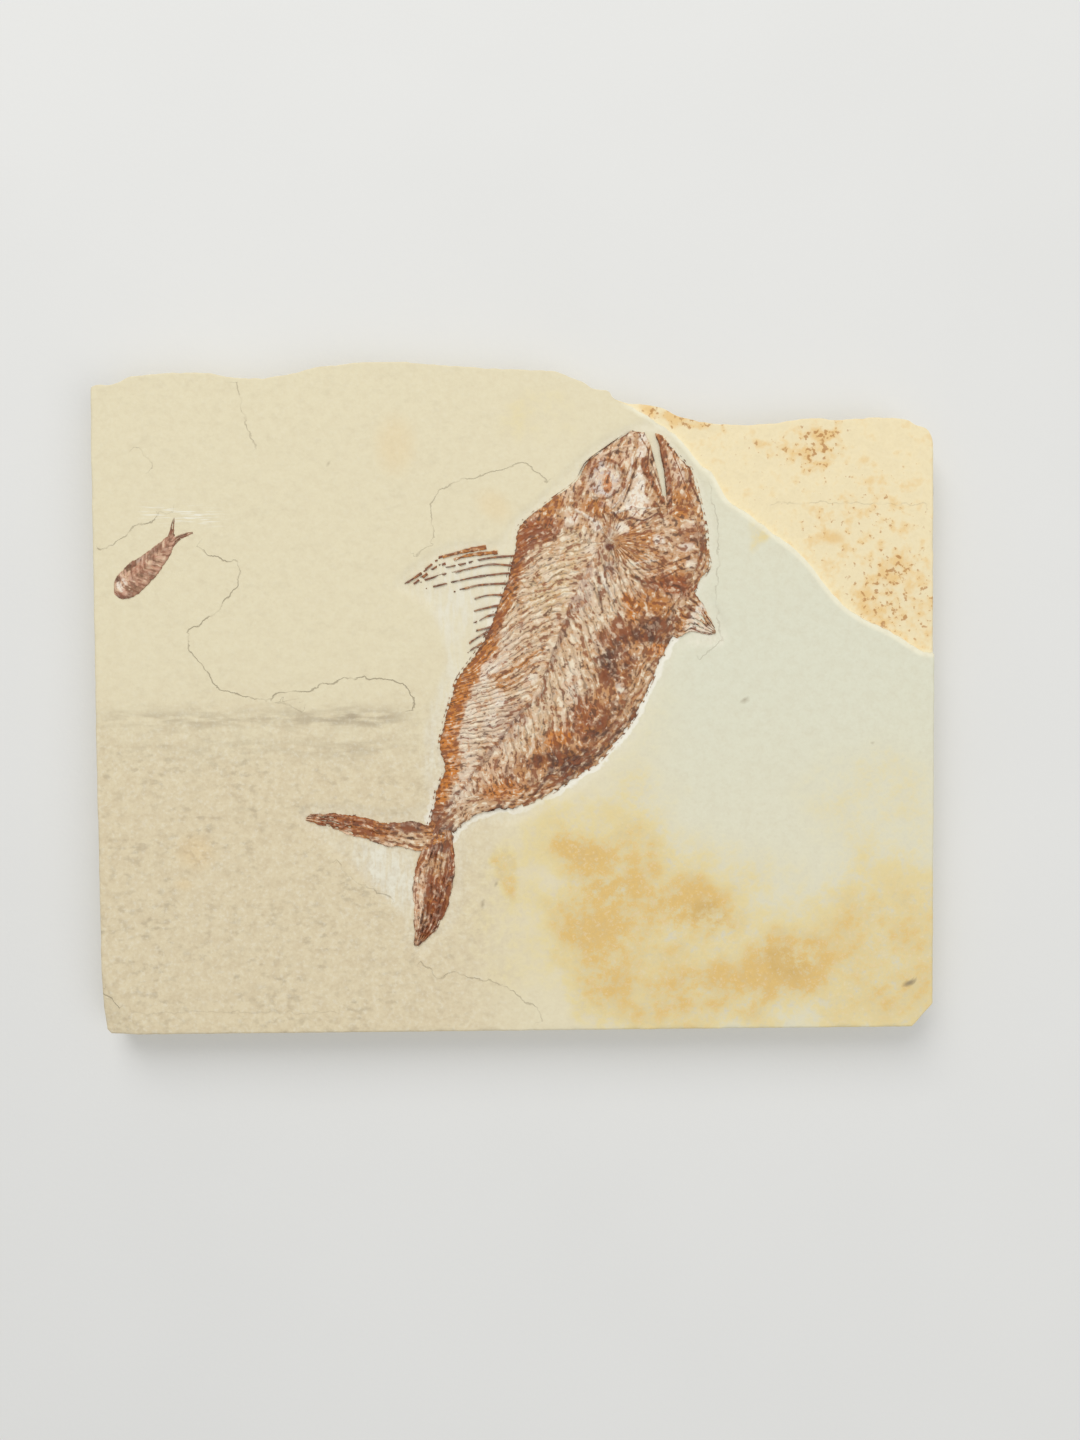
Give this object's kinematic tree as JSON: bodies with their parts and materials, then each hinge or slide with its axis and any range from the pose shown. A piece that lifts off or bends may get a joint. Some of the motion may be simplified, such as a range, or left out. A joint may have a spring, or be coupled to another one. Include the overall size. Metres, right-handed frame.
{
  "type": "fossil fish slab",
  "caption": "Thin sawn limestone plate lying on its back, with a large and a small fossil fish in its face and a natural break along its top edge.",
  "frame": {"origin": "middle of the slab's flat back, under the middle of its box", "axes": "+Z out of the face with the fishes, +X along the sawn bottom edge towards the lower right corner, +Y up the face towards the natural break"},
  "size_m": [0.18, 0.143, 0.0105],
  "materials": {
    "limestone": "fine matt cream limestone with ochre iron stains and smoky grey bands",
    "brown_bone": "mineralised bone, reddish brown with orange and pale patches, faintly glossy",
    "pink_brown_bone": "mineralised bone, pinkish brown, matt"
  },
  "bodies": {
    "root": {"limestone_slab": "limestone", "large_fish": "brown_bone", "small_fish": "pink_brown_bone"}
  },
  "joints": []
}
